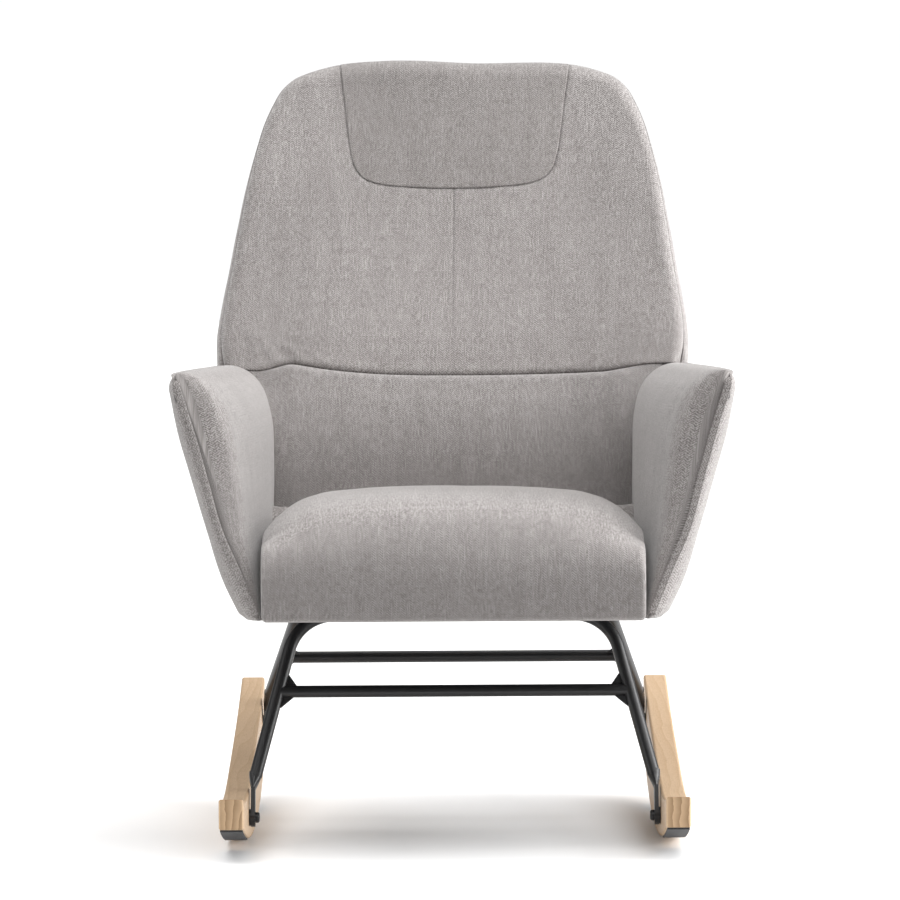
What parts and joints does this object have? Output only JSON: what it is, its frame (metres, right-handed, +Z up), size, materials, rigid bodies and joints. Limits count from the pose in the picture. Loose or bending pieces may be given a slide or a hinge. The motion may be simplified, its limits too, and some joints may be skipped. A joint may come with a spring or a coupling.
{
  "type": "rocking chair",
  "caption": "Rocking chair with a tall padded back, flared padded arms, black bent-tube legs and pale wooden rockers.",
  "frame": {"origin": "on the floor, midway between the rockers and midway between the seat's front and the rockers' tails", "axes": "+Z up, the sitter faces -Y, +X to the right when the chair is seen from the front"},
  "size_m": [0.677, 0.8401, 0.9702],
  "materials": {
    "wood_rocker": "satin",
    "rubber_black": "matte",
    "metal_black": "satin",
    "steel_zinc": "satin",
    "wood_frame": "matte",
    "fabric_cover": "matte",
    "fabric_piping": "matte",
    "dust_cloth": "matte",
    "webbing": "matte"
  },
  "bodies": {
    "root": {"arm_bolts": "steel_zinc", "arm_fixing_blocks": "wood_frame", "back_elastic_straps": "webbing", "back_joint_bolts": "steel_zinc", "back_piping": "fabric_piping", "back_side_band": "fabric_cover", "back_stile_left": "wood_frame", "back_stile_right": "wood_frame", "back_top_rail": "wood_frame", "back_waist_rail": "wood_frame", "dust_cover": "dust_cloth", "front_anti_slip_strips": "rubber_black", "front_leg_frame": "metal_black", "front_stretcher": "metal_black", "headrest_pad": "fabric_cover", "left_arm_outer_panel": "fabric_cover", "left_arm_pad": "fabric_cover", "left_arm_piping": "fabric_piping", "left_arm_plywood_panel": "wood_frame", "left_rocker": "wood_rocker", "lumbar_cushion": "fabric_cover", "rear_anti_slip_strips": "rubber_black", "rear_leg_frame": "metal_black", "rear_outer_panel": "fabric_cover", "rear_stretcher": "metal_black", "right_arm_outer_panel": "fabric_cover", "right_arm_pad": "fabric_cover", "right_arm_piping": "fabric_piping", "right_arm_plywood_panel": "wood_frame", "right_rocker": "wood_rocker", "rocker_bolts": "metal_black", "rocker_spacer_washers": "metal_black", "rocker_threaded_inserts": "steel_zinc", "seat_bolts": "steel_zinc", "seat_cross_bearers": "wood_frame", "seat_cushion": "fabric_cover", "seat_front_rail": "wood_frame", "seat_mounting_bars": "metal_black", "seat_rear_rail": "wood_frame", "seat_side_rails": "wood_frame", "seat_spring_clips": "steel_zinc", "seat_springs": "steel_zinc", "seat_tee_nuts": "steel_zinc", "stretcher_gussets": "metal_black", "upper_back_cushion": "fabric_cover"}
  },
  "joints": []
}
